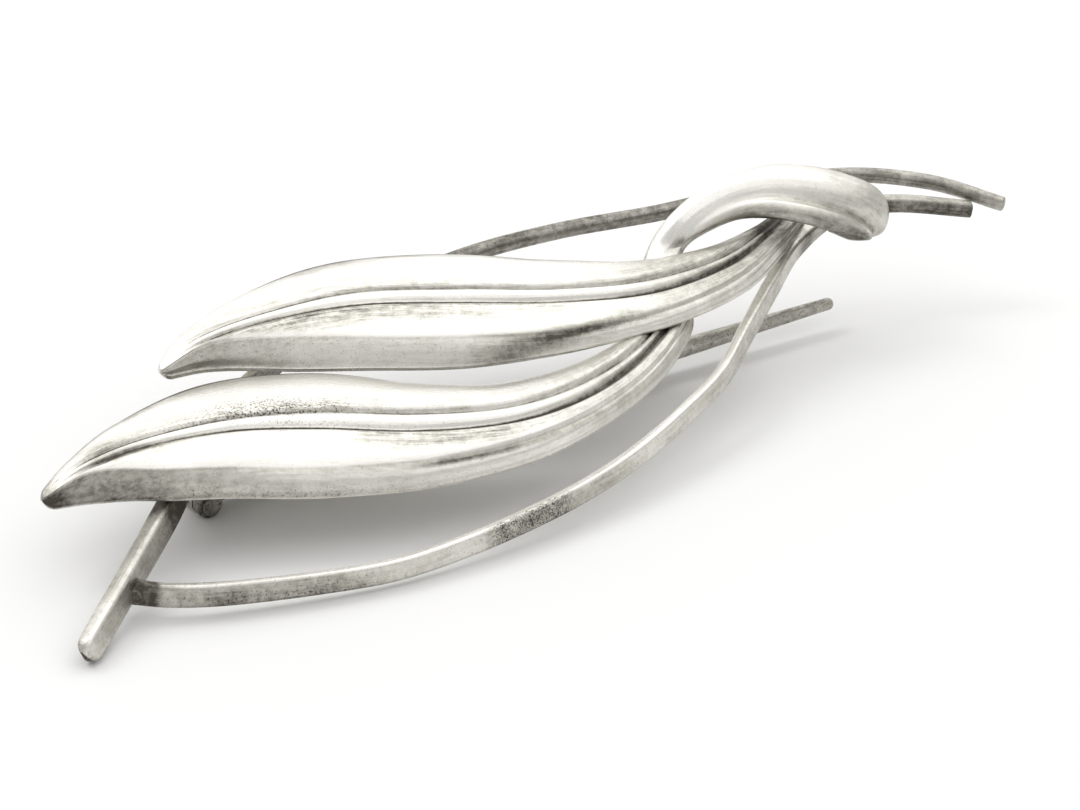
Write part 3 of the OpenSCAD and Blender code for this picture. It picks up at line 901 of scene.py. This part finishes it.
def silver(name, tarnish_and_painted_light=None, rough=0.2):
    """Worn silver. Without a set tarnish, it takes all its marks from the mesh, painted shade
    and highlights among them.
    """
    g = Graph(name)
    place = g.add("ShaderNodeTexCoord").outputs["Object"]
    flow, shade, specks, scuffs = place, 0.0, PLAIN_SPECKS, 0.0
    if tarnish_and_painted_light is None:
        flow = g.carried("flow", "Vector")
        tarnish_and_painted_light = g.carried("tarnish_and_painted_light")
        shade = g.carried("shade")
        specks = g.carried("specks")
        scuffs = g.carried("scuffs")

    # Noise, each from 0 to 1
    streaks = g.ranged(g.noise(g.stretched(flow, STREAK_SCALE), 1.0, 5, 0.6), 0.27, 0.73)
    bands = g.ranged(g.noise(g.stretched(flow, BAND_SCALE), 1.0, 4, 0.6), 0.3, 0.7)
    mottle = g.ranged(g.noise(place, MOTTLE_SCALE, 6, 0.66, 0.5), 0.32, 0.68)
    clouds = g.ranged(g.noise(place, CLOUD_SCALE, 3, 0.5), 0.3, 0.7)
    pits = g.math("MULTIPLY_ADD", specks, 0.12, g.noise(place, PIT_SCALE, 3, 0.6))
    pits = g.ranged(pits, 0.6, 0.68)
    curl = g.noise(place, CURL_SCALE, 2, 0.5, 2.5)
    curl = g.ranged(g.math("ABSOLUTE", g.math("SUBTRACT", curl, 0.5)), 0.0, 0.07, 1.0, 0.0)
    scratches = g.math("MULTIPLY", curl, scuffs)

    # Dark lines in the grooves and along the crest
    lines = 0.0
    distances = g.split(g.carried("lines", "Vector"))
    strengths = g.split(g.carried("strengths", "Vector"))
    for distance, strength, width in zip(distances, strengths, LINE_WIDTHS):
        line = g.ranged(g.math("ABSOLUTE", distance), 0.0, width, 1.0, 0.0)
        lines = g.math("MULTIPLY_ADD", line, strength, lines)

    # How far the metal is tarnished at each place, with the painted shade, shadows, dark
    # reflections and highlights that the mesh carries
    swing = g.math("MULTIPLY_ADD", tarnish_and_painted_light, 0.24, 0.03)
    amount = g.vary(tarnish_and_painted_light, mottle, swing)
    amount = g.vary(amount, clouds, g.math("MULTIPLY", swing, 0.6))
    amount = g.vary(amount, streaks, g.math("MULTIPLY_ADD", tarnish_and_painted_light, 0.13, 0.03))
    smears = g.math("MULTIPLY", streaks, g.ranged(g.math("MULTIPLY", bands, clouds), 0.12, 0.5))
    amount = g.math("MULTIPLY_ADD", smears, 0.1, amount)
    shade = g.math("MULTIPLY", shade, g.math("MULTIPLY_ADD", streaks, 0.5, 0.2))
    shade = g.math("MULTIPLY", shade, g.ranged(mottle, 0.2, 0.8, 0.8, 1.1))
    amount = g.math("ADD", shade, amount)
    pitted = g.math("MULTIPLY", pits, g.math("MULTIPLY_ADD", specks, 0.5, 0.15))
    amount = g.math("ADD", pitted, amount)
    amount = g.math("MULTIPLY_ADD", scratches, 0.6, amount)
    dark_lines = g.math("MULTIPLY", lines, g.math("MULTIPLY_ADD", mottle, 0.25, 0.7))
    amount = g.math("ADD", dark_lines, amount, clamp=True)

    ramp = g.add("ShaderNodeValToRGB")
    g.put(ramp.inputs["Fac"], amount)
    stops = ramp.color_ramp.elements
    while len(stops) < len(TARNISH_AND_PAINTED_LIGHT_STEPS):
        stops.new(0.5)
    for stop, (position, colour) in zip(stops, TARNISH_AND_PAINTED_LIGHT_STEPS):
        stop.position = position
        stop.color = (*colour, 1)
    g.put(g.shader.inputs["Base Color"], ramp.outputs["Color"])
    g.shader.inputs["Metallic"].default_value = 1.0
    rough = g.math("MULTIPLY_ADD", bands, 0.08, rough)
    g.put(g.shader.inputs["Roughness"], g.math("MULTIPLY_ADD", amount, 0.3, rough))

    height = g.math("MULTIPLY", streaks, 0.3)
    height = g.math("MULTIPLY_ADD", mottle, 0.45, height)
    height = g.math("MULTIPLY_ADD", g.math("MULTIPLY", pits, specks), -0.6, height)
    height = g.math("MULTIPLY_ADD", scratches, -0.8, height)
    fine = g.bump(height, 0.3, FINE_RELIEF)
    g.put(g.shader.inputs["Normal"], g.bump(lines, 0.8, LINE_RELIEF, fine, invert=True))
    return g.material


def pale_floor():
    g = Graph("floor_white")
    g.shader.inputs["Base Color"].default_value = FLOOR_COLOUR
    g.shader.inputs["Roughness"].default_value = FLOOR_ROUGHNESS
    g.shader.inputs["Specular IOR Level"].default_value = FLOOR_SPECULAR
    return g.material


def give(obj, material):
    """Let a piece have this material and no other."""
    obj.data.materials.clear()
    obj.data.materials.append(material)


# Lights
def softbox(name, place, size, radiance):
    """A lamp that looks equally bright at any size, aimed at the brooch."""
    data = bpy.data.lights.new(name, "AREA")
    data.shape = "RECTANGLE"
    data.size, data.size_y = size
    data.energy = radiance * math.pi * size[0] * size[1]
    obj = bpy.data.objects.new(name, data)
    bpy.context.collection.objects.link(obj)
    obj.location = place
    obj.rotation_euler = (-Vector(place)).to_track_quat("-Z", "Y").to_euler()


# Camera
camera = bpy.data.objects.new("camera", bpy.data.cameras.new("camera"))
bpy.context.collection.objects.link(camera)
camera.data.sensor_width = CAMERA_SENSOR
camera.data.lens = CAMERA_LENS
camera.data.clip_start, camera.data.clip_end = CAMERA_CLIP
camera.location = CAMERA_AT
camera.rotation_euler = Vector(CAMERA_LOOKS).to_track_quat("-Z", "Y").to_euler()
bpy.context.scene.camera = camera

# Pieces
front_leaf = make_leaf("front_leaf", FRONT_LEAF, front_leaf_wear_and_painted_shade, front_leaf_specks,
                       crease=(0.25, 0.5), smear=(0.53, 0.1))
back_leaf = make_leaf("back_leaf", BACK_LEAF, back_leaf_wear_and_painted_shade, back_leaf_specks,
                      crease=(0.15, 0.0), smear=(0.31, 0.22))
long_wire = make_wire("long_wire", LONG_WIRE, long_wire_wear_and_painted_sheen, corner=0.34, round_start=0.8)
front_wire = make_wire("front_wire", FRONT_WIRE, front_wire_wear_and_painted_light, corner=0.26,
                       start=0.28, slant=0.65)
stem_wrap = make_wrap("stem_wrap", WRAP)

hinge_span = EYE_WIDTH + 2 * (HINGE_PLAY + EAR_THICKNESS)
hinge_block = join("hinge_block", [
    make_ear("ear_near", -1),
    make_ear("ear_far", 1),
    round_box("hinge_plate",
              (EYE_RADIUS - HINGE_BASE_LENGTH, -hinge_span / 2, EAR_HEIGHT),
              (EYE_RADIUS, hinge_span / 2, EAR_HEIGHT + HINGE_BASE_HEIGHT), HINGE_BEVEL),
])
pin_catch = join("pin_catch", [
    make_rod("catch_hook", catch_hook_path(), lambda run: CATCH_WIRE_RADIUS),
    make_rod("catch_post", catch_post_path(), catch_post_radius),
])
solder = join("solder_seams", [make_lump(*lump) for lump in SOLDER])

# Finishes
# Worn silver also shows the painted shade, shadows, dark reflections and highlights that the
# meshes carry.
worn_silver = silver("worn_silver")
dull_silver = silver("dull_silver", tarnish_and_painted_light=0.56, rough=0.26)
# Dark silver for the hinge: tarnish and painted shade, for the shadow it sits in under the front
# leaf.
dark_silver = silver("dark_silver", tarnish_and_painted_light=0.72, rough=0.26)
solder_metal = silver("solder_metal", tarnish_and_painted_light=0.88, rough=0.34)
FINISHES = (
    (front_leaf, worn_silver), (back_leaf, worn_silver), (stem_wrap, worn_silver),
    (long_wire, worn_silver), (front_wire, worn_silver),
    (hinge_block, dark_silver), (pin_catch, dull_silver), (solder, solder_metal),
)
for piece, finish in FINISHES:
    give(piece, finish)
    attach(piece, "brooch")
    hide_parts("leaf_spray")
give(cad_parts["pin_stem"], dull_silver)
give(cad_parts["hinge_rivet"], dark_silver)

# Floor and light
bpy.ops.mesh.primitive_plane_add(size=FLOOR_SIZE, location=(0, 0, 0))
floor = bpy.context.object
floor.name = "floor"
give(floor, pale_floor())

for box in SOFTBOXES:
    softbox(*box)

world = bpy.data.worlds.new("studio")
bpy.context.scene.world = world
world.use_nodes = True
background = world.node_tree.nodes["Background"]
background.inputs["Color"].default_value = WORLD_COLOUR
background.inputs["Strength"].default_value = WORLD_STRENGTH
bpy.context.scene.view_settings.view_transform = "Standard"
